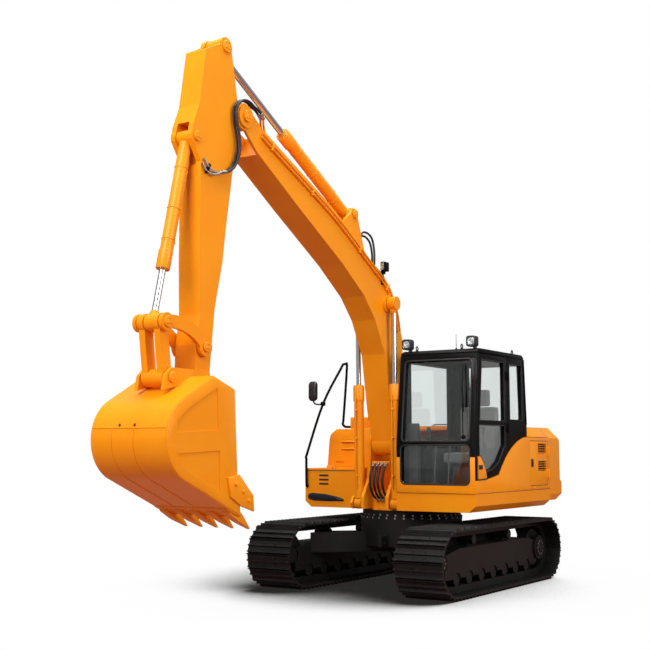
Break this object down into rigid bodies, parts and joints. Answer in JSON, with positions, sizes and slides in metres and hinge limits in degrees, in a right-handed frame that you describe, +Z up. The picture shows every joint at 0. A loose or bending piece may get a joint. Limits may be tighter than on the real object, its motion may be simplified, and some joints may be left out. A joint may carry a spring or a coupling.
{
  "type": "crawler excavator",
  "caption": "Tracked hydraulic excavator with a slewing upper body, glazed cab, bent boom, arm and toothed bucket; boom, arm, bucket, doors and lids move",
  "frame": {"origin": "middle of the machine's length and width, on the ground under the tracks", "axes": "+X forward along the boom, +Y to the operator's left, +Z up"},
  "size_m": [7.37, 2.59, 5.8049],
  "materials": {
    "body_paint": "semi-gloss orange-yellow enamel",
    "cab_paint": "satin black enamel",
    "frame_paint": "matt black enamel",
    "track_steel": "dark painted steel",
    "bearing_steel": "dark machined steel",
    "engine_iron": "plain casting",
    "rail_paint": "gloss black enamel",
    "black_plastic": "grained moulding",
    "tinted_glass": "tinted safety glass",
    "seat_cloth": "woven cloth",
    "rod_chrome": "hard chrome",
    "tooth_steel": "painted cast steel"
  },
  "bodies": {
    "undercarriage": {"carbody": "frame_paint", "track_frames": "frame_paint", "left_track": "track_steel", "right_track": "track_steel", "sprockets": "frame_paint", "idlers": "frame_paint", "rollers": "frame_paint", "slew_ring": "bearing_steel"},
    "upper": {"deck": "body_paint", "counterweight": "body_paint", "engine": "engine_iron", "fuel_tank": "body_paint", "valve_cover": "body_paint", "left_cover": "body_paint", "right_cover": "body_paint", "toolbox": "body_paint", "handrails": "rail_paint", "mirrors": "black_plastic", "cab_floor": "body_paint", "cab_front": "cab_paint", "cab_right_wall": "cab_paint", "cab_rear_wall": "cab_paint", "cab_left_wall": "cab_paint", "cab_roof": "cab_paint", "cab_glass": "tinted_glass", "seat": "seat_cloth", "controls": "black_plastic", "cab_lamps": "black_plastic"},
    "cab_door": {"cab_door": "cab_paint", "door_glass": "tinted_glass"},
    "engine_hood": {"engine_hood": "body_paint"},
    "left_service_door": {"left_service_door": "body_paint"},
    "right_service_door": {"right_service_door": "body_paint"},
    "toolbox_lid": {"toolbox_lid": "body_paint"},
    "boom": {"boom": "body_paint", "boom_lamp": "black_plastic"},
    "boom_cylinders": {"boom_cylinders": "body_paint"},
    "boom_rods": {"boom_rods": "rod_chrome"},
    "arm_cylinder": {"arm_cylinder": "body_paint"},
    "arm_rod": {"arm_rod": "rod_chrome"},
    "arm": {"arm": "body_paint"},
    "bucket_cylinder": {"bucket_cylinder": "body_paint"},
    "bucket_rod": {"bucket_rod": "rod_chrome"},
    "guide_links": {"guide_links": "body_paint"},
    "bucket_link": {"bucket_link": "body_paint"},
    "bucket": {"bucket": "body_paint", "bucket_teeth": "tooth_steel"}
  },
  "joints": [
    {"name": "slew", "type": "hinge", "parent": "undercarriage", "child": "upper", "pos_m": [-1.415, 0, 0.9], "axis": [0, 0, 1], "continuous": true},
    {"name": "boom_lift", "type": "hinge", "parent": "upper", "child": "boom", "pos_m": [-0.985, -0.1, 1.72], "axis": [0, -1, 0], "range_deg": [-85, 15]},
    {"name": "arm_crowd", "type": "hinge", "parent": "boom", "child": "arm", "pos_m": [2.205, -0.1, 5.04], "axis": [0, 1, 0], "range_deg": [-90, 18]},
    {"name": "bucket_curl", "type": "hinge", "parent": "arm", "child": "bucket", "pos_m": [2.805, -0.1, 2.3], "axis": [0, 1, 0], "range_deg": [-50, 105]},
    {"name": "boom_cylinder_swing", "type": "hinge", "parent": "upper", "child": "boom_cylinders", "pos_m": [-0.755, -0.1, 1], "axis": [0, -1, 0], "range_deg": [-66, 12.5]},
    {"name": "boom_rod_slide", "type": "slide", "parent": "boom_cylinders", "child": "boom_rods", "axis": [0.0165, 0, 0.9999], "range_m": [-0.75, 0.14]},
    {"name": "arm_cylinder_swing", "type": "hinge", "parent": "boom", "child": "arm_cylinder", "pos_m": [-0.015, -0.1, 4.42], "axis": [0, 1, 0], "range_deg": [-7.5, 2]},
    {"name": "arm_rod_slide", "type": "slide", "parent": "arm_cylinder", "child": "arm_rod", "axis": [0.8879, 0, 0.46], "range_m": [-0.98, 0.2]},
    {"name": "guide_link_swing", "type": "hinge", "parent": "arm", "child": "guide_links", "pos_m": [2.805, -0.1, 2.62], "axis": [0, 1, 0], "range_deg": [-42, 87.5]},
    {"name": "bucket_link_swing", "type": "hinge", "parent": "bucket", "child": "bucket_link", "pos_m": [3.3, -0.1, 2.305], "axis": [0, 1, 0], "range_deg": [-65, 31.5]},
    {"name": "bucket_cylinder_swing", "type": "hinge", "parent": "arm", "child": "bucket_cylinder", "pos_m": [2.924, -0.1, 4.674], "axis": [0, 1, 0], "range_deg": [-3, 6]},
    {"name": "bucket_rod_slide", "type": "slide", "parent": "bucket_cylinder", "child": "bucket_rod", "axis": [0.2333, 0, -0.9724], "range_m": [-0.36, 0.75]},
    {"name": "cab_door_swing", "type": "hinge", "parent": "upper", "child": "cab_door", "pos_m": [-1.562, 1.271, 2], "axis": [0, 0, 1], "range_deg": [0, 165]},
    {"name": "hood_lift", "type": "hinge", "parent": "upper", "child": "engine_hood", "pos_m": [-2.892, 0, 1.951], "axis": [0, -1, 0], "range_deg": [0, 60]},
    {"name": "left_service_swing", "type": "hinge", "parent": "upper", "child": "left_service_door", "pos_m": [-2.832, 1.271, 1.5], "axis": [0, 0, 1], "range_deg": [0, 100]},
    {"name": "right_service_swing", "type": "hinge", "parent": "upper", "child": "right_service_door", "pos_m": [-2.832, -1.271, 1.5], "axis": [0, 0, -1], "range_deg": [0, 100]},
    {"name": "toolbox_lid_lift", "type": "hinge", "parent": "upper", "child": "toolbox_lid", "pos_m": [-1.273, -0.8, 1.428], "axis": [0, -1, 0], "range_deg": [0, 80]}
  ],
  "couplings": [
    {"joint": "boom_cylinder_swing", "follows": "boom_lift", "ratio": 0.7654},
    {"joint": "boom_rod_slide", "follows": "boom_lift", "m_per_rad": 0.5001},
    {"joint": "arm_cylinder_swing", "follows": "arm_crowd", "ratio": 0.0754},
    {"joint": "arm_rod_slide", "follows": "arm_crowd", "m_per_rad": 0.6199},
    {"joint": "guide_link_swing", "follows": "bucket_curl", "ratio": 0.8224},
    {"joint": "bucket_link_swing", "follows": "bucket_curl", "ratio": -0.6131},
    {"joint": "bucket_cylinder_swing", "follows": "bucket_curl", "ratio": 0.0526},
    {"joint": "bucket_rod_slide", "follows": "bucket_curl", "m_per_rad": 0.4044}
  ]
}
